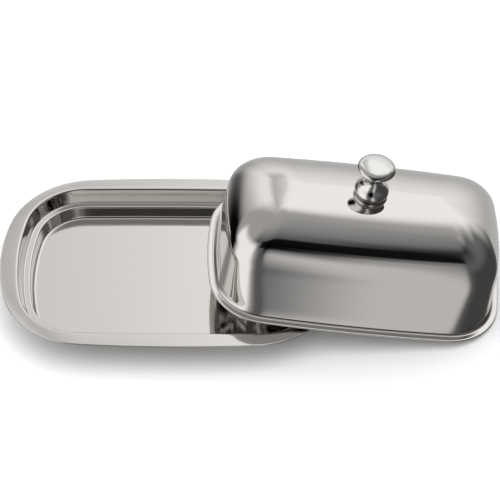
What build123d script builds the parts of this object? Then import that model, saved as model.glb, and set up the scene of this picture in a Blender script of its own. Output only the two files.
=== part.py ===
from build123d import *
from math import asin, atan2, cos, degrees, hypot, radians, sin, sqrt, tan
import os

# A stainless steel butter dish: a stepped tray and its arched lid with a knob.
# The lid is off. It leans with one end on the tray's rim and the other on the table.
# Millimetres. The origin is the centre of the tray's underside, +X runs to the lid, +Z is up.

# ---- sheet steel ----
sheet = 0.8
bend_radius = 2.0

# ---- tray ----
tray_half_length = 95.0
tray_half_width = 64.0
tray_side_radius = 800.0
tray_end_radius = 110.0
tray_corner_radius = 47.0
tray_height = 16.0
rim_fall = 0.8
rim_flat = 1.7
rim_edge_radius = 0.3

recess_half_length = 85.2
recess_half_width = 54.8
recess_side_radius = 2600.0
recess_end_radius = 140.0
recess_corner_radius = 32.8
recess_lip_radius = 1.3

ledge_depth = 8.0
ledge_width = 3.8
upper_wall_lean = 2.8
lower_wall_lean = 1.5
ledge_inner_radius = 0.7
ledge_outer_radius = 0.8
floor_radius = 1.6

# ---- lid ----
lid_side_gap = 0.85
flange_width_end = 4.2
flange_width_side = 5.0
flange_edge_radius = 0.3
lid_side_radius = 1100.0
lid_end_radius = 200.0
lid_corner_radius = 30.4
lid_height = 59.0
lid_wall_height = 30.0
draft_end = 3.0
draft_side = 10.0
lid_top_half_length = 40.0
lid_top_half_width = 3.3
arch_corner_share = 0.73
arch_corner_power = 0.6
wall_steps = [0, 0.35, 0.7]
arch_steps = [0, 14, 28, 42, 56, 68, 77, 84]

# ---- where the lid lies ----
lid_centre_x = 100.6
lid_centre_y = -1.0
lid_turn = 1.0
lid_rest_gap = 0.3
table_gap = 0.02

# ---- knob, screw and washer ----
knob_foot_radius = 9.5
knob_foot_edge = 1.0
knob_waist_radius = 5.6
knob_cap_radius = 10.4
knob_cap_height = 18.8
knob_height = 22.6
knob_neck_radius = 9.2
screw_radius = 2.0
thread_core_radius = 1.85
thread_depth = 9.0
thread_bite = 7.5
screw_hole_radius = 2.25
screw_head_radius = 4.0
screw_head_height = 2.4
screw_slot_width = 1.0
screw_slot_depth = 1.2
washer_radius = 4.6
washer_hole_radius = 2.15
washer_thickness = 0.8
washer_drop = 0.25  # the arch falls away this much at the washer's rim

# ---- sizes that follow from the ones above ----
rim_edge_height = tray_height - rim_fall
ledge_top = tray_height - ledge_depth
ledge_half_length = recess_half_length - upper_wall_lean
ledge_half_width = recess_half_width - upper_wall_lean
lid_half_length = ledge_half_length - lid_side_gap
lid_half_width = ledge_half_width - lid_side_gap
wall_half_length = lid_half_length - flange_width_end
wall_half_width = lid_half_width - flange_width_side
wall_corner_radius = lid_corner_radius - flange_width_end
arch_half_length = wall_half_length - lid_wall_height * tan(radians(draft_end))
arch_half_width = wall_half_width - lid_wall_height * tan(radians(draft_side))
arch_corner_radius = wall_corner_radius * arch_corner_share
arch_rise = (lid_height - lid_wall_height) / sin(radians(arch_steps[-1]))
arch_run = 1 - cos(radians(arch_steps[-1]))
arch_reach_end = (arch_half_length - lid_top_half_length) / arch_run
arch_reach_side = (arch_half_width - lid_top_half_width) / arch_run


def oval_points(half_length, half_width, side_radius, end_radius, corner_radius):
    """The two joints and the middle of an oval's corner arc, and that arc's centre."""
    side_y = half_width - side_radius
    end_x = half_length - end_radius
    to_side = side_radius - corner_radius
    to_end = end_radius - corner_radius
    span = hypot(end_x, side_y)
    along = (to_side**2 - to_end**2 + span**2) / (2 * span)
    across = sqrt(to_side**2 - along**2)
    unit_x, unit_y = end_x / span, -side_y / span
    corner_x = unit_x * along + unit_y * across
    corner_y = side_y + unit_y * along - unit_x * across
    side_angle = atan2(corner_y - side_y, corner_x)
    end_angle = atan2(corner_y, corner_x - end_x)
    middle = (side_angle + end_angle) / 2
    on_corner = [
        (corner_x + corner_radius * cos(turn), corner_y + corner_radius * sin(turn))
        for turn in (side_angle, middle, end_angle)
    ]
    return [*on_corner, (corner_x, corner_y)]


def oval_face(half_length, half_width, side_radius, end_radius, corner_radius):
    """Adds the oval to the sketch being drawn."""
    first, middle, last, _ = oval_points(
        half_length, half_width, side_radius, end_radius, corner_radius
    )
    with BuildLine(Plane.XY, mode=Mode.PRIVATE) as outline:
        ThreePointArc((-first[0], first[1]), (0, half_width), first)
        ThreePointArc(first, middle, last)
        ThreePointArc(last, (half_length, 0), (last[0], -last[1]))
        ThreePointArc((last[0], -last[1]), (middle[0], -middle[1]), (first[0], -first[1]))
        ThreePointArc((first[0], -first[1]), (0, -half_width), (-first[0], -first[1]))
        ThreePointArc((-first[0], -first[1]), (-middle[0], -middle[1]), (-last[0], -last[1]))
        ThreePointArc((-last[0], -last[1]), (-half_length, 0), (-last[0], last[1]))
        ThreePointArc((-last[0], last[1]), (-middle[0], middle[1]), (-first[0], first[1]))
    make_face(outline.edges())


def rim_oval(inset=0.0):
    oval_face(
        tray_half_length - inset,
        tray_half_width - inset,
        tray_side_radius - inset,
        tray_end_radius - inset,
        tray_corner_radius - inset,
    )


def recess_oval(inset=0.0):
    oval_face(
        recess_half_length - inset,
        recess_half_width - inset,
        recess_side_radius - inset,
        recess_end_radius - inset,
        recess_corner_radius - inset,
    )


def lid_oval(half_length, half_width, corner_radius, inset=0.0):
    oval_face(
        half_length - inset,
        half_width - inset,
        lid_side_radius - inset,
        lid_end_radius - inset,
        corner_radius - inset,
    )


def edges_at(part, plane, height, half_length, half_width):
    """Edges lying flat at a height above the plane and no further out than the sizes given."""
    found = []
    for edge in part.edges():
        spots = [plane.to_local_coords(edge.position_at(t)) for t in (0, 0.5, 1)]
        flat = all(abs(spot.Z - height) < 0.01 for spot in spots)
        inside = all(abs(s.X) < half_length and abs(s.Y) < half_width for s in spots)
        if flat and inside:
            found.append(edge)
    return found


def outer_edges_at(part, plane, height, half_length, half_width):
    """Edges lying flat at a height above the plane, outside the sizes given."""
    near = edges_at(part, plane, height, half_length, half_width)
    every = edges_at(part, plane, height, 500, 500)
    return [edge for edge in every if edge not in near]


# ---- the tray: rim, ledge and floor pressed from one sheet ----
floor_inset = upper_wall_lean + ledge_width + lower_wall_lean
with BuildPart() as tray:
    # rim plate, falling a little towards its edge
    with BuildSketch(Plane.XY.offset(rim_edge_height - sheet)):
        rim_oval()
    with BuildSketch(Plane.XY.offset(rim_edge_height)):
        rim_oval()
    with BuildSketch(Plane.XY.offset(tray_height)):
        recess_oval(-rim_flat)
    loft(ruled=True)
    with BuildSketch(Plane.XY.offset(rim_edge_height - sheet)):
        rim_oval()
    with BuildSketch(Plane.XY.offset(tray_height - sheet)):
        recess_oval(-rim_flat)
    loft(ruled=True, mode=Mode.SUBTRACT)
    # outside of the two walls
    with BuildSketch(Plane.XY.offset(ledge_top - sheet)):
        recess_oval(upper_wall_lean - sheet)
    with BuildSketch(Plane.XY.offset(tray_height - sheet)):
        recess_oval(-sheet)
    loft(ruled=True)
    with BuildSketch(Plane.XY):
        recess_oval(floor_inset - sheet)
    with BuildSketch(Plane.XY.offset(ledge_top - sheet)):
        recess_oval(upper_wall_lean + ledge_width - sheet)
    loft(ruled=True)
    # inside of the two walls
    with BuildSketch(Plane.XY.offset(ledge_top)):
        recess_oval(upper_wall_lean)
    with BuildSketch(Plane.XY.offset(tray_height)):
        recess_oval()
    loft(ruled=True, mode=Mode.SUBTRACT)
    with BuildSketch(Plane.XY.offset(sheet)):
        recess_oval(floor_inset)
    with BuildSketch(Plane.XY.offset(ledge_top)):
        recess_oval(upper_wall_lean + ledge_width)
    loft(ruled=True, mode=Mode.SUBTRACT)
    # bends, from the rim down to the floor
    fillet(edges_at(tray.part, Plane.XY, tray_height, 90, 60), radius=recess_lip_radius)
    for height in (rim_edge_height, rim_edge_height - sheet):
        fillet(outer_edges_at(tray.part, Plane.XY, height, 90, 60), radius=rim_edge_radius)
    fillet(edges_at(tray.part, Plane.XY, ledge_top, 80.5, 50.3), radius=ledge_inner_radius)
    fillet(outer_edges_at(tray.part, Plane.XY, ledge_top, 80.5, 50.3), radius=ledge_outer_radius)
    fillet(edges_at(tray.part, Plane.XY, sheet, 90, 60), radius=floor_radius)
    fillet(edges_at(tray.part, Plane.XY, 0, 90, 60), radius=floor_radius + sheet)
tray.part.label = "tray"


# ---- the lid's own frame: origin in the middle of its foot, x along it, z out of its top ----
_, _, rim_last, rim_corner = oval_points(
    tray_half_length, tray_half_width, tray_side_radius, tray_end_radius, tray_corner_radius
)
rim_under_wall_x = rim_corner[0] + sqrt(
    tray_corner_radius**2 - (wall_half_width - rim_corner[1]) ** 2
)
lid_lean = degrees(
    asin((rim_edge_height + lid_rest_gap) / (lid_half_length + lid_centre_x - rim_under_wall_x))
)
lid_foot_height = lid_half_length * sin(radians(lid_lean)) + table_gap
lid_frame = Plane(
    Location((lid_centre_x, lid_centre_y, lid_foot_height), (0, lid_lean, 0))
    * Location((0, 0, 0), (0, 0, lid_turn))
)


def body_levels(depth):
    """Height, half-length, half-width and corner radius of each level of the lid, foot to top.

    A depth pushes the levels in, square to the lid's skin.
    """
    found = []
    for share in wall_steps:
        height = lid_wall_height * share
        half_length = wall_half_length + (arch_half_length - wall_half_length) * share
        half_width = wall_half_width + (arch_half_width - wall_half_width) * share
        corner = wall_corner_radius + (arch_corner_radius - wall_corner_radius) * share
        found.append((height, half_length - depth, half_width - depth, corner - depth))
    for step in arch_steps:
        turn = radians(step)
        slope = atan2(sin(turn) * arch_reach_side, cos(turn) * arch_rise)
        height = lid_wall_height + arch_rise * sin(turn) - depth * sin(slope)
        inward = depth * cos(slope)
        half_length = arch_half_length - arch_reach_end * (1 - cos(turn)) - inward
        half_width = arch_half_width - arch_reach_side * (1 - cos(turn)) - inward
        rounding = arch_corner_radius * ((half_width + inward) / arch_half_width) ** arch_corner_power
        corner = min(rounding - inward, 0.75 * half_width)
        found.append((height, half_length, half_width, corner))
    return found


with BuildPart() as lid_shell:
    # flange
    with BuildSketch(lid_frame):
        lid_oval(lid_half_length, lid_half_width, lid_corner_radius)
    extrude(amount=sheet)
    # the wall and the arch above it, first their skin and then their inside
    for depth, mode in ((0, Mode.ADD), (sheet, Mode.SUBTRACT)):
        for height, half_length, half_width, corner in body_levels(depth):
            with BuildSketch(lid_frame.offset(height)):
                oval_face(half_length, half_width, lid_side_radius, lid_end_radius, corner)
        loft(mode=mode)
    # bend between wall and flange, inside and out, and the flange's own edges
    near_x, near_y = wall_half_length + 1, wall_half_width + 1
    fillet(edges_at(lid_shell.part, lid_frame, sheet, near_x, near_y), radius=bend_radius)
    fillet(edges_at(lid_shell.part, lid_frame, 0, near_x, near_y), radius=bend_radius + sheet)
    for height in (0, sheet):
        rim_edges = outer_edges_at(lid_shell.part, lid_frame, height, near_x + 3, near_y + 3)
        fillet(rim_edges, radius=flange_edge_radius)
    # hole for the knob's screw
    with BuildSketch(lid_frame.offset(lid_height - 2 * sheet)):
        Circle(screw_hole_radius)
    extrude(amount=3 * sheet, mode=Mode.SUBTRACT)
lid_shell.part.label = "lid_shell"


# ---- knob: foot, waist and mushroom cap, turned in one piece ----
knob_seat = lid_frame.offset(lid_height)
knob_side = Plane(origin=knob_seat.origin, x_dir=knob_seat.x_dir, z_dir=-knob_seat.y_dir)
lid_axis = Axis(knob_seat.origin, knob_seat.z_dir)

with BuildPart() as knob:
    with BuildSketch(knob_side):
        with BuildLine():
            Polyline((0, knob_height), (0, 0), (knob_foot_radius, 0), (knob_foot_radius, knob_foot_edge))
            Spline(
                (knob_foot_radius, knob_foot_edge),
                (6.9, 0.16 * knob_cap_height),
                (knob_waist_radius, 0.4 * knob_cap_height),
                (7.2, 0.67 * knob_cap_height),
                (knob_neck_radius, 0.81 * knob_cap_height),
                tangents=((-1, 0.12), (1, 1)),
            )
            ThreePointArc(
                (knob_neck_radius, 0.81 * knob_cap_height),
                (knob_cap_radius - 0.15, 0.9 * knob_cap_height),
                (knob_cap_radius, knob_cap_height),
            )
            Spline(
                (knob_cap_radius, knob_cap_height),
                (0.68 * knob_cap_radius, 0.24 * knob_cap_height + 0.76 * knob_height),
                (0, knob_height),
                tangents=((0, 1), (-1, 0)),
            )
        make_face()
    revolve(axis=lid_axis)
    # tapped hole for the screw
    with BuildSketch(knob_seat):
        Circle(thread_core_radius)
    extrude(amount=thread_depth, mode=Mode.SUBTRACT)
knob.part.label = "knob"


# ---- washer and pan-head screw, inside the lid ----
washer_seat = lid_frame.offset(lid_height - sheet - washer_drop)
head_seat = washer_seat.offset(-washer_thickness)

with BuildPart() as washer:
    with BuildSketch(head_seat):
        Circle(washer_radius)
        Circle(washer_hole_radius, mode=Mode.SUBTRACT)
    extrude(amount=washer_thickness)
washer.part.label = "knob_washer"

with BuildPart() as screw:
    with BuildSketch(head_seat):
        Circle(screw_radius)
    extrude(amount=washer_thickness + washer_drop + sheet + thread_bite)
    with BuildSketch(head_seat.offset(-screw_head_height)):
        Circle(screw_head_radius)
    extrude(amount=screw_head_height)
    fillet(edges_at(screw.part, head_seat, -screw_head_height, 6, 6), radius=1.2)
    with BuildSketch(head_seat.offset(-screw_head_height)):
        Rectangle(3 * screw_head_radius, screw_slot_width)
    extrude(amount=screw_slot_depth, mode=Mode.SUBTRACT)
screw.part.label = "knob_screw"


# ---- one file for each piece ----
os.makedirs("parts", exist_ok=True)
export_step(tray.part, "parts/tray.step")
export_step(lid_shell.part, "parts/lid_shell.step")
export_step(knob.part, "parts/knob.step")
export_step(washer.part, "parts/knob_washer.step")
export_step(screw.part, "parts/knob_screw.step")
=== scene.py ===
from math import asin, atan2, cos, hypot, pi, radians, sin, sqrt, tan

import bmesh
import bpy
from mathutils import Matrix, Vector


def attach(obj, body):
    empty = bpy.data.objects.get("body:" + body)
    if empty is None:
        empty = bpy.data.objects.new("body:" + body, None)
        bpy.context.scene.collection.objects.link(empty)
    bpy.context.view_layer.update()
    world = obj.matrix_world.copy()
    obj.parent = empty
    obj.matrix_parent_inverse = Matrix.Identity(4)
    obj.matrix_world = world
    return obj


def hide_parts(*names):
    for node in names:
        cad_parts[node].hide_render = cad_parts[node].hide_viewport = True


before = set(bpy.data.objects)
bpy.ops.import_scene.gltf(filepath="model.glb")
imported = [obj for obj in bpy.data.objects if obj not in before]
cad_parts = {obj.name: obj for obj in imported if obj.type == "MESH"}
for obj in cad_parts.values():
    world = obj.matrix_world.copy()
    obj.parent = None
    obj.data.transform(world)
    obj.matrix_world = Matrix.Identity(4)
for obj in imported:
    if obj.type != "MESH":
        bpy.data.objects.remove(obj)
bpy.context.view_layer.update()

# A stainless steel butter dish: a stepped tray and its arched lid with a knob, in metres.
# Sizes below are in millimetres and the same as the CAD part's.

MM = 0.001
ops = bpy.ops
mesh_ops = bpy.ops.mesh

# ---- sheet steel ----
SHEET = 0.8

# ---- tray ----
TRAY_HALF_LENGTH, TRAY_HALF_WIDTH = 95.0, 64.0
TRAY_RADII = (800.0, 110.0, 47.0)
TRAY_HEIGHT = 16.0
RIM_FALL = 0.8
RIM_FLAT = 1.7
RIM_EDGE_RADIUS = 0.3
RECESS_HALF_LENGTH, RECESS_HALF_WIDTH = 85.2, 54.8
RECESS_RADII = (2600.0, 140.0, 32.8)
LIP_RADIUS = 1.3
LEDGE_DEPTH = 8.0
LEDGE_WIDTH = 3.8
UPPER_WALL_LEAN = 2.8
LOWER_WALL_LEAN = 1.5

# ---- lid, in its own frame: foot at height 0, x along it, z out of its top ----
LID_SIDE_GAP = 0.85
FLANGE_END, FLANGE_SIDE = 4.2, 5.0
LID_SIDE_RADIUS, LID_END_RADIUS, LID_CORNER_RADIUS = 1100.0, 200.0, 30.4
LID_HEIGHT, WALL_HEIGHT = 59.0, 30.0
DRAFT_END, DRAFT_SIDE = 3.0, 10.0
TOP_HALF_LENGTH, TOP_HALF_WIDTH = 40.0, 3.3
CORNER_SHARE, CORNER_POWER = 0.73, 0.6
BEND_RADIUS = 2.0
LID_CENTRE_X, LID_CENTRE_Y, LID_TURN = 100.6, -1.0, 1.0
LID_REST_GAP, TABLE_GAP = 0.3, 0.02

# ---- knob ----
KNOB_SEAT, KNOB_FOOT, KNOB_WAIST, KNOB_CAP = 7.6, 9.5, 5.6, 10.4
KNOB_FOOT_HEIGHT, KNOB_WAIST_HEIGHT = 2.9, 11.0
KNOB_CAP_HEIGHT = 18.8
KNOB_STEPS = 64
KNOB_CAP_CROWN = ((9.8, 20.1), (8.6, 21.0), (7.0, 21.6), (4.2, 22.2), (0.0, 22.45))

# ---- sizes that follow ----
RIM_EDGE_HEIGHT = TRAY_HEIGHT - RIM_FALL
LEDGE_TOP = TRAY_HEIGHT - LEDGE_DEPTH
LID_HALF_LENGTH = RECESS_HALF_LENGTH - UPPER_WALL_LEAN - LID_SIDE_GAP
LID_HALF_WIDTH = RECESS_HALF_WIDTH - UPPER_WALL_LEAN - LID_SIDE_GAP
WALL_HALF_LENGTH = LID_HALF_LENGTH - FLANGE_END
WALL_HALF_WIDTH = LID_HALF_WIDTH - FLANGE_SIDE
WALL_CORNER = LID_CORNER_RADIUS - FLANGE_END
ARCH_HALF_LENGTH = WALL_HALF_LENGTH - WALL_HEIGHT * tan(radians(DRAFT_END))
ARCH_HALF_WIDTH = WALL_HALF_WIDTH - WALL_HEIGHT * tan(radians(DRAFT_SIDE))
ARCH_CORNER = WALL_CORNER * CORNER_SHARE
ARCH_TURN = radians(84)  # how far the arch turns before its top is flat
ARCH_RISE = (LID_HEIGHT - WALL_HEIGHT) / sin(ARCH_TURN)
REACH_END = (ARCH_HALF_LENGTH - TOP_HALF_LENGTH) / (1 - cos(ARCH_TURN))
REACH_SIDE = (ARCH_HALF_WIDTH - TOP_HALF_WIDTH) / (1 - cos(ARCH_TURN))


def oval_arcs(half_length, half_width, side_radius, end_radius, corner_radius):
    """Centre of the first corner, and the turn at which the side meets it and it meets the end."""
    side_y = half_width - side_radius
    end_x = half_length - end_radius
    to_side = side_radius - corner_radius
    to_end = end_radius - corner_radius
    span = hypot(end_x, side_y)
    along = (to_side**2 - to_end**2 + span**2) / (2 * span)
    across = sqrt(to_side**2 - along**2)
    unit_x, unit_y = end_x / span, -side_y / span
    corner_x = unit_x * along + unit_y * across
    corner_y = side_y + unit_y * along - unit_x * across
    return corner_x, corner_y, atan2(corner_y - side_y, corner_x), atan2(corner_y, corner_x - end_x)


# ---- modelling by operators ----
RING = "ring"  # the number of the outline a vertex was spun for
SIDE_STEPS, CORNER_STEPS, END_STEPS = 28, 14, 16  # of an outline's arcs
WELD = 0.03  # joins the ends of arcs, in mm
FINE_WELD = 0.005  # joins what is left in a finished piece, in mm


def start_piece(name):
    """A tiny plane, in edit mode and deselected, that the first outline starts from."""
    ops.object.select_all(action="DESELECT")
    mesh_ops.primitive_plane_add(size=MM)
    piece = bpy.context.object
    piece.name = name
    piece.data.name = name
    ops.object.mode_set(mode="EDIT")
    mesh_ops.select_mode(type="VERT")
    mesh_ops.delete(type="VERT")
    edit_mesh().verts.layers.int.new(RING)
    bmesh.update_edit_mesh(piece.data)
    return piece


def edit_mesh():
    found = bmesh.from_edit_mesh(bpy.context.object.data)
    found.verts.ensure_lookup_table()
    found.edges.ensure_lookup_table()
    return found


def add_vertex(x, y, z, ring=0):
    """One selected vertex, with everything else deselected."""
    mesh_ops.select_all(action="DESELECT")
    mesh_ops.select_mode(type="VERT")
    mesh = edit_mesh()
    vertex = mesh.verts.new((x * MM, y * MM, z * MM))
    vertex[mesh.verts.layers.int[RING]] = ring
    vertex.select = True
    mesh.select_history.add(vertex)
    bmesh.update_edit_mesh(bpy.context.object.data)


def draw_oval(ring, height, half_length, half_width, radii):
    """A closed outline at a height: eight arcs, each spun from the end of the one before."""
    side_radius, end_radius, _ = radii
    corner_x, corner_y, at_side, at_end = oval_arcs(half_length, half_width, *radii)
    side_y, end_x = half_width - side_radius, half_length - end_radius
    side_span, corner_span, end_span = pi / 2 - at_side, at_side - at_end, at_end
    start = (side_radius * cos(at_side), side_y + side_radius * sin(at_side), height)
    add_vertex(*start, ring)
    arcs = [
        (corner_x, corner_y, corner_span, CORNER_STEPS),
        (end_x, 0, 2 * end_span, END_STEPS),
        (corner_x, -corner_y, corner_span, CORNER_STEPS),
        (0, -side_y, 2 * side_span, SIDE_STEPS),
        (-corner_x, -corner_y, corner_span, CORNER_STEPS),
        (-end_x, 0, 2 * end_span, END_STEPS),
        (-corner_x, corner_y, corner_span, CORNER_STEPS),
        (0, side_y, 2 * side_span, SIDE_STEPS),
    ]
    for x, y, span, count in arcs:
        centre = (x * MM, y * MM, height * MM)
        mesh_ops.spin(steps=count, angle=span, center=centre, axis=(0, 0, 1))
    select_rings(ring)
    mesh_ops.remove_doubles(threshold=WELD * MM)


def select_rings(*rings):
    """Selects these outlines, without the faces between them."""
    mesh_ops.select_all(action="DESELECT")
    mesh_ops.select_mode(type="EDGE")
    mesh = edit_mesh()
    number = mesh.verts.layers.int[RING]
    for edge in mesh.edges:
        one, other = (vertex[number] for vertex in edge.verts)
        if one == other and one in rings:
            edge.select = True
    bmesh.update_edit_mesh(bpy.context.object.data)


def stretch_sheet(levels):
    """Draws each level's outline, bridges it to the one before, and selects the last one.

    Where two are level, the second is bridged from 1 mm above, so that it doesn't twist.
    """
    before = None
    for ring, (height, *shape) in enumerate(levels):
        lift = 1.0 if before is not None and abs(height - before) < 0.01 else 0.0
        draw_oval(ring, height + lift, *shape)
        if ring:
            select_rings(ring - 1, ring)
            mesh_ops.bridge_edge_loops()
        if lift:
            select_rings(ring)
            ops.transform.translate(value=(0, 0, -lift * MM))
        before = height
    select_rings(ring)


def finish_piece(piece, thickness=0.0, levels=0, angle=180):
    """Closes the mesh, gives the sheet its thickness, smooths it and applies what was added."""
    mesh_ops.select_all(action="SELECT")
    mesh_ops.remove_doubles(threshold=FINE_WELD * MM)
    mesh_ops.normals_make_consistent(inside=False)
    ops.object.mode_set(mode="OBJECT")
    piece.data.attributes.remove(piece.data.attributes[RING])
    if thickness:
        wall = piece.modifiers.new("sheet", "SOLIDIFY")
        wall.thickness = thickness * MM
        wall.offset = -1
        wall.use_even_offset = True
        ops.object.modifier_apply(modifier=wall.name)
    if levels:
        smooth = piece.modifiers.new("smooth", "SUBSURF")
        smooth.levels = smooth.render_levels = levels
        ops.object.modifier_apply(modifier=smooth.name)
    ops.object.shade_smooth_by_angle(angle=radians(angle))
    return piece


def build_tray():
    """One closed skin: floor, recess, rim, round its edge and back along the underside."""
    tray = start_piece("tray_pressed")
    levels = [recess_level(*spot) for spot in reversed(tray_profile())]
    levels.append(rim_level(RIM_EDGE_RADIUS + 0.3, RIM_EDGE_HEIGHT + 0.3 * RIM_FALL / 8))
    for turn in (90, 60, 30, 0):
        inset = RIM_EDGE_RADIUS * (1 - cos(radians(turn)))
        height = RIM_EDGE_HEIGHT - RIM_EDGE_RADIUS * (1 - sin(radians(turn)))
        levels.append(rim_level(inset, height))
    for turn in (0, 45, 90):
        inset = RIM_EDGE_RADIUS * (1 - cos(radians(turn)))
        height = RIM_EDGE_HEIGHT - SHEET + RIM_EDGE_RADIUS * (1 - sin(radians(turn)))
        levels.append(rim_level(inset, height))
    levels += [recess_level(*spot) for spot in tray_underside()]
    stretch_sheet(levels)
    mesh_ops.fill_grid(span=END_STEPS + CORNER_STEPS)
    select_rings(0)
    mesh_ops.fill_grid(span=END_STEPS + CORNER_STEPS)
    finish_piece(tray, angle=40)
    return tray


def rim_level(inset, height):
    radii = tuple(radius - inset for radius in TRAY_RADII)
    return height, TRAY_HALF_LENGTH - inset, TRAY_HALF_WIDTH - inset, radii


def recess_level(inset, height):
    radii = tuple(radius - inset for radius in RECESS_RADII)
    return height, RECESS_HALF_LENGTH - inset, RECESS_HALF_WIDTH - inset, radii


def round_corner(points, radii, steps=7, hold=0.0):
    """The profile through the points given, with each inner one rounded to its radius."""
    found = [points[0]]
    for before, corner, after, radius in zip(points, points[1:], points[2:], radii):
        here = Vector(corner)
        to_before = (Vector(before) - here).normalized()
        to_after = (Vector(after) - here).normalized()
        half = to_before.angle(to_after) / 2
        reach = radius / tan(half)
        centre = here + (to_before + to_after).normalized() * (radius / sin(half))
        start, end = here + to_before * reach - centre, here + to_after * reach - centre
        turns = (start.slerp(end, step / steps) for step in range(steps + 1))
        arc = [centre + turn.normalized() * radius for turn in turns]
        if hold:
            arc = [arc[0] + to_before * hold, *arc, arc[-1] + to_after * hold]
        found += [(spot.x, spot.y) for spot in arc]
    return [*found, points[-1]]


def tray_profile():
    """Inset from the recess's outline and height, from the lip down to the floor."""
    corners = [
        (-RIM_FLAT - 0.35, TRAY_HEIGHT - 0.035),
        (0.0, TRAY_HEIGHT),
        (UPPER_WALL_LEAN, LEDGE_TOP),
        (UPPER_WALL_LEAN + LEDGE_WIDTH, LEDGE_TOP),
        (UPPER_WALL_LEAN + LEDGE_WIDTH + LOWER_WALL_LEAN, SHEET),
        (UPPER_WALL_LEAN + LEDGE_WIDTH + LOWER_WALL_LEAN + 3.5, SHEET),
    ]
    return round_corner(corners, [LIP_RADIUS, 0.8, 0.9, 1.6], hold=0.2)


def tray_underside():
    """The same for the underside, a sheet's thickness away."""
    ledge_end = UPPER_WALL_LEAN + LEDGE_WIDTH - SHEET
    corners = [
        (-RIM_FLAT - 0.35, TRAY_HEIGHT - SHEET - 0.035),
        (-SHEET, TRAY_HEIGHT - SHEET),
        (UPPER_WALL_LEAN - SHEET, LEDGE_TOP - SHEET),
        (ledge_end, LEDGE_TOP - SHEET),
        (ledge_end + LOWER_WALL_LEAN, 0.0),
        (ledge_end + LOWER_WALL_LEAN + 4.5, 0.0),
    ]
    return round_corner(corners, [0.5, 1.6, 0.25, 2.4], steps=3)


def lid_rings():
    """Height, half-length, half-width and radii of each level of the lid, flange to top."""
    found = []
    # flange, out from its edge to the bend into the wall
    corners = [(0.0, SHEET), (FLANGE_END, SHEET), (FLANGE_END + 0.35, SHEET + 6.0)]
    for inset, height in round_corner(corners, [BEND_RADIUS], steps=6)[:-1]:
        share = min(inset / FLANGE_END, 1.0)
        side_inset = inset + (FLANGE_SIDE - FLANGE_END) * share
        radii = (LID_SIDE_RADIUS, LID_END_RADIUS, LID_CORNER_RADIUS - inset)
        if height > SHEET + BEND_RADIUS * 0.9:
            continue
        found.append((height, LID_HALF_LENGTH - inset, LID_HALF_WIDTH - side_inset, radii))
    for height in (4.5, 7.5, 11, 15, 19, 23, 26.5):
        share = height / WALL_HEIGHT
        corner = WALL_CORNER + (ARCH_CORNER - WALL_CORNER) * share
        found.append(
            (
                height,
                WALL_HALF_LENGTH + (ARCH_HALF_LENGTH - WALL_HALF_LENGTH) * share,
                WALL_HALF_WIDTH + (ARCH_HALF_WIDTH - WALL_HALF_WIDTH) * share,
                (LID_SIDE_RADIUS, LID_END_RADIUS, corner),
            )
        )
    for turn in (0, 6, 12, 18, 24, 30, 36, 42, 48, 54, 60, 66, 72, 77, 81, 84.5):
        turn = radians(turn)
        half_width = ARCH_HALF_WIDTH - REACH_SIDE * (1 - cos(turn))
        corner = ARCH_CORNER * (half_width / ARCH_HALF_WIDTH) ** CORNER_POWER
        corner = min(corner, 0.6 * half_width)
        found.append(
            (
                WALL_HEIGHT + ARCH_RISE * sin(turn),
                ARCH_HALF_LENGTH - REACH_END * (1 - cos(turn)),
                half_width,
                (LID_SIDE_RADIUS, LID_END_RADIUS, corner),
            )
        )
    return found


def lid_matrix():
    """Where the lid lies: one end on the tray's rim, the other on the table."""
    corner_x, corner_y, _, _ = oval_arcs(TRAY_HALF_LENGTH, TRAY_HALF_WIDTH, *TRAY_RADII)
    under_wall = corner_x + sqrt(TRAY_RADII[2] ** 2 - (WALL_HALF_WIDTH - corner_y) ** 2)
    lean = asin((RIM_EDGE_HEIGHT + LID_REST_GAP) / (LID_HALF_LENGTH + LID_CENTRE_X - under_wall))
    foot = LID_HALF_LENGTH * sin(lean) + TABLE_GAP
    place = Matrix.Translation(Vector((LID_CENTRE_X, LID_CENTRE_Y, foot)) * MM)
    return place @ Matrix.Rotation(lean, 4, "Y") @ Matrix.Rotation(radians(LID_TURN), 4, "Z")


def put_in_place(piece, matrix):
    piece.data.transform(matrix)
    piece.data.update()


def build_lid():
    lid = start_piece("lid_pressed")
    stretch_sheet(lid_rings())
    mesh_ops.fill_grid(span=END_STEPS // 2)
    finish_piece(lid, thickness=SHEET, levels=1, angle=180)
    put_in_place(lid, lid_matrix())
    return lid


def smooth_line(points, steps=6):
    """Points along a smooth line through the ones given."""
    found = []
    padded = [points[0], *points, points[-1]]
    for a, b, c, d in zip(padded, padded[1:], padded[2:], padded[3:]):
        a, b, c, d = Vector(a), Vector(b), Vector(c), Vector(d)
        for step in range(steps):
            t = step / steps
            square = (2 * a - 5 * b + 4 * c - d) * t**2
            cube = (3 * b - a - 3 * c + d) * t**3
            spot = 0.5 * (2 * b + (c - a) * t + square + cube)
            found.append((spot.x, spot.y))
    return [*found, tuple(points[-1])]


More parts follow.
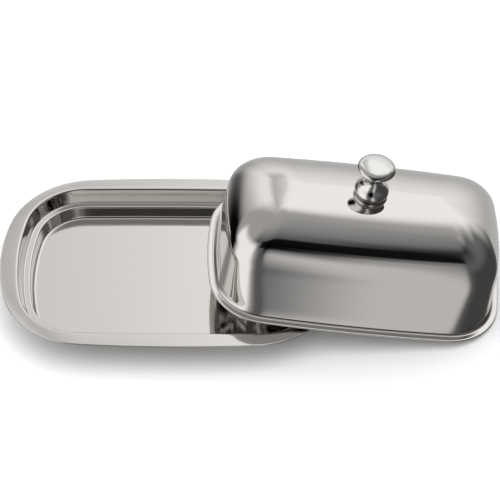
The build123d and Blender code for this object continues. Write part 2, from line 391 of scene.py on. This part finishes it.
def build_knob():
    knob = start_piece("knob_turned")
    profile = smooth_line(
        [
            (KNOB_SEAT, 0.0),
            (0.95 * KNOB_FOOT, 0.35 * KNOB_FOOT_HEIGHT),
            (KNOB_FOOT, KNOB_FOOT_HEIGHT),
            (0.92 * KNOB_FOOT, 1.65 * KNOB_FOOT_HEIGHT),
            (1.15 * KNOB_WAIST, 0.7 * KNOB_WAIST_HEIGHT),
            (KNOB_WAIST, KNOB_WAIST_HEIGHT),
            (1.1 * KNOB_WAIST, 0.77 * KNOB_CAP_HEIGHT),
            (0.81 * KNOB_CAP, 0.89 * KNOB_CAP_HEIGHT),
            (KNOB_CAP, KNOB_CAP_HEIGHT),
            *KNOB_CAP_CROWN,
        ],
        steps=3,
    )
    profile.insert(0, (0.0, 0.0))
    add_vertex(profile[0][0], 0, profile[0][1])
    for before, after in zip(profile, profile[1:]):
        step = ((after[0] - before[0]) * MM, 0, (after[1] - before[1]) * MM)
        mesh_ops.extrude_vertices_move(TRANSFORM_OT_translate={"value": step})
    mesh_ops.select_all(action="SELECT")
    mesh_ops.spin(steps=KNOB_STEPS, angle=2 * pi, center=(0, 0, 0), axis=(0, 0, 1))
    mesh_ops.select_all(action="SELECT")
    mesh_ops.remove_doubles(threshold=0.01 * MM)
    finish_piece(knob, levels=1, angle=180)
    put_in_place(knob, lid_matrix() @ Matrix.Translation((0, 0, LID_HEIGHT * MM)))
    return knob


# ---- materials ----
def linear(text):
    """An sRGB hex colour as linear red, green, blue and alpha."""
    parts = [int(text[i : i + 2], 16) / 255 for i in (1, 3, 5)]
    dark = 0.04045
    light = tuple(p / 12.92 if p <= dark else ((p + 0.055) / 1.055) ** 2.4 for p in parts)
    return light + (1.0,)


def add_node(tree, kind, settings=None, inputs=None, links=None):
    """A shader node with its settings, its fixed inputs and the sockets that feed it."""
    node = tree.nodes.new(kind)
    for key, value in (settings or {}).items():
        setattr(node, key, value)
    for key, value in (inputs or {}).items():
        node.inputs[key].default_value = value
    for key, source in (links or {}).items():
        tree.links.new(source, node.inputs[key])
    return node


def steel(name, colour, low, high, grain_mm):
    """Stainless steel, whose roughness wanders from low to high over its surface."""
    material = bpy.data.materials.new(name)
    material.use_nodes = True
    tree = material.node_tree
    shader = tree.nodes["Principled BSDF"]
    shader.inputs["Metallic"].default_value = 1.0
    shader.inputs["Base Color"].default_value = linear(colour)
    place = add_node(tree, "ShaderNodeTexCoord")
    cloud = add_node(
        tree,
        "ShaderNodeTexNoise",
        inputs={"Scale": 1 / (grain_mm * MM), "Detail": 3.0, "Roughness": 0.6},
        links={"Vector": place.outputs["Object"]},
    )
    span = add_node(
        tree,
        "ShaderNodeMapRange",
        inputs={"From Min": 0.3, "From Max": 0.7, "To Min": low, "To Max": high},
        links={"Value": cloud.outputs["Fac"]},
    )
    tree.links.new(span.outputs["Result"], shader.inputs["Roughness"])
    return material


def dress(piece, material):
    piece.data.materials.clear()
    piece.data.materials.append(material)


tray = build_tray()
lid = build_lid()
knob = build_knob()

tray_steel = steel("polished_stainless_tray", "#D2CFCC", 0.05, 0.09, 18)
lid_steel = steel("mirror_polished_stainless_lid", "#D2CFCC", 0.03, 0.05, 25)
knob_steel = steel("mirror_polished_stainless_knob", "#D6D4D2", 0.03, 0.05, 6)
plain_steel = steel("plain_stainless_screw", "#A9A6A2", 0.25, 0.4, 3)

dress(tray, tray_steel)
dress(lid, lid_steel)
dress(knob, knob_steel)
for node in ("knob_screw", "knob_washer"):
    dress(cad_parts[node], plain_steel)

for piece, body, node, slot in (
    (tray, "tray", "tray", "tray_steel"),
    (lid, "lid", "lid_shell", "lid_steel"),
    (knob, "lid", "knob", "knob_steel"),
):
    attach(piece, body)
    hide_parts(node)

# ---- floor ----
ops.object.select_all(action="DESELECT")
mesh_ops.primitive_plane_add(size=6.0, location=(0, 0, -0.0002))
floor = bpy.context.object
floor.name = "floor"
paper = bpy.data.materials.new("white_paper_floor")
paper.use_nodes = True
paper_shader = paper.node_tree.nodes["Principled BSDF"]
paper_shader.inputs["Base Color"].default_value = linear("#F4F4F4")
paper_shader.inputs["Roughness"].default_value = 0.9
dress(floor, paper)

# ---- camera ----
camera_data = bpy.data.cameras.new("camera")
camera = bpy.data.objects.new("camera", camera_data)
bpy.context.scene.collection.objects.link(camera)
ELEVATION, YAW, ROLL = 0.8123, -0.0342, -0.0186  # in radians
CAMERA_PLACE = (0.0852, -1.2142, 1.3062)
camera_data.lens = 230.35
camera_data.sensor_width = 36.0
camera_data.clip_end = 50
look = Vector((sin(YAW) * cos(ELEVATION), cos(YAW) * cos(ELEVATION), -sin(ELEVATION)))
turned = look.to_track_quat("-Z", "Y").to_matrix().to_4x4() @ Matrix.Rotation(ROLL, 4, "Z")
camera.matrix_world = Matrix.Translation(CAMERA_PLACE) @ turned
bpy.context.scene.camera = camera

# ---- light ----
# The studio around the dish, as what its polished steel mirrors. Each layer is painted over the
# ones before: middle, half-width and softness of its edge in azimuth and in elevation, all in
# degrees, and its brightness. Azimuth 0 is away from the camera and 90 to the right.
STUDIO = (
    ("right side in shade", 101.1, 55.0, 5.4, -8.9, 63.6, 5.0, 0.18),
    ("right side low", 101.5, 49.3, 17.3, -33.0, 50.3, 14.3, 0.0728),
    ("dim zone over the camera", 167.0, 61.2, 14.1, 49.9, 9.1, 28.3, 1.74e-12),
    ("front left low", -179.4, 21.8, 9.8, -6.1, 45.4, 7.5, 0.139),
    ("left softbox", -111.5, 35.9, 8.4, -5.3, 45.8, 8.2, 1.25),
    ("gap left of the backdrop", -64.0, 27.4, 13.7, -35.8, 46.2, 9.9, 0.0029),
    ("backdrop", 16.6, 31.8, 2.0, -15.0, 60.0, 8.0, 0.596),
    ("backdrop upper part", 8.8, 51.3, 10.7, 39.8, 26.4, 24.3, 1.14),
    ("back softbox shoulder", -13.2, 10.2, 4.6, 55.4, 23.3, 8.8, 0.571),
    ("back softbox", 29.2, 36.3, 24.0, 57.9, 19.7, 5.0, 1.27),
    ("front panel", 170.3, 8.3, 6.1, -20.8, 48.5, 3.1, 0.716),
    ("camera side in the dark", 174.7, 26.9, 6.2, 41.2, 8.0, 2.1, 0.0078),
    ("camera itself", 176.6, 10.9, 5.6, 30.8, 10.7, 12.5, 1.49e-08),
)
OVERHEAD = 0.48  # brightness where no layer is painted


def build_studio():
    world = bpy.data.worlds.new("studio")
    bpy.context.scene.world = world
    world.use_nodes = True
    tree = world.node_tree
    place = add_node(tree, "ShaderNodeTexCoord")
    split = add_node(tree, "ShaderNodeSeparateXYZ", links={"Vector": place.outputs["Generated"]})
    azimuth = add_node(
        tree,
        "ShaderNodeMath",
        settings={"operation": "ARCTAN2"},
        links={0: split.outputs["X"], 1: split.outputs["Y"]},
    )
    elevation = add_node(
        tree, "ShaderNodeMath", settings={"operation": "ARCSINE"}, links={0: split.outputs["Z"]}
    )
    brightness = None
    for _, at, half, soft, up, half_up, soft_up, strength in STUDIO:
        aside = add_node(
            tree,
            "ShaderNodeMath",
            settings={"operation": "SUBTRACT"},
            inputs={1: radians(at)},
            links={0: azimuth.outputs[0]},
        )
        aside = add_node(
            tree,
            "ShaderNodeMath",
            settings={"operation": "WRAP"},
            inputs={1: pi, 2: -pi},
            links={0: aside.outputs[0]},
        )
        above = add_node(
            tree,
            "ShaderNodeMath",
            settings={"operation": "SUBTRACT"},
            inputs={1: radians(up)},
            links={0: elevation.outputs[0]},
        )
        edges = []
        for source, reach, fade in ((aside, half, soft), (above, half_up, soft_up)):
            distance = add_node(
                tree,
                "ShaderNodeMath",
                settings={"operation": "ABSOLUTE"},
                links={0: source.outputs[0]},
            )
            edges.append(
                add_node(
                    tree,
                    "ShaderNodeMapRange",
                    settings={"interpolation_type": "SMOOTHSTEP"},
                    inputs={"From Min": radians(reach + fade), "From Max": radians(reach - fade)},
                    links={"Value": distance.outputs[0]},
                )
            )
        mask = add_node(
            tree,
            "ShaderNodeMath",
            settings={"operation": "MULTIPLY"},
            links={0: edges[0].outputs[0], 1: edges[1].outputs[0]},
        )
        layer = add_node(
            tree,
            "ShaderNodeMix",
            inputs={2: OVERHEAD, 3: strength},
            links={0: mask.outputs[0]},
        )
        if brightness is not None:
            tree.links.new(brightness.outputs[0], layer.inputs[2])
        brightness = layer
    tree.links.new(brightness.outputs[0], tree.nodes["Background"].inputs["Strength"])
    tree.nodes["Background"].inputs["Color"].default_value = linear("#FFFFFF")


build_studio()

# the light that whitens the floor, too wide and high to show in the steel
fill_data = bpy.data.lights.new("floor_light", "SUN")
fill_data.energy = 2.4
fill_data.angle = radians(120)
fill = bpy.data.objects.new("floor_light", fill_data)
bpy.context.scene.collection.objects.link(fill)
fill.visible_glossy = False
floor.visible_glossy = False
bpy.context.scene.view_settings.view_transform = "Standard"
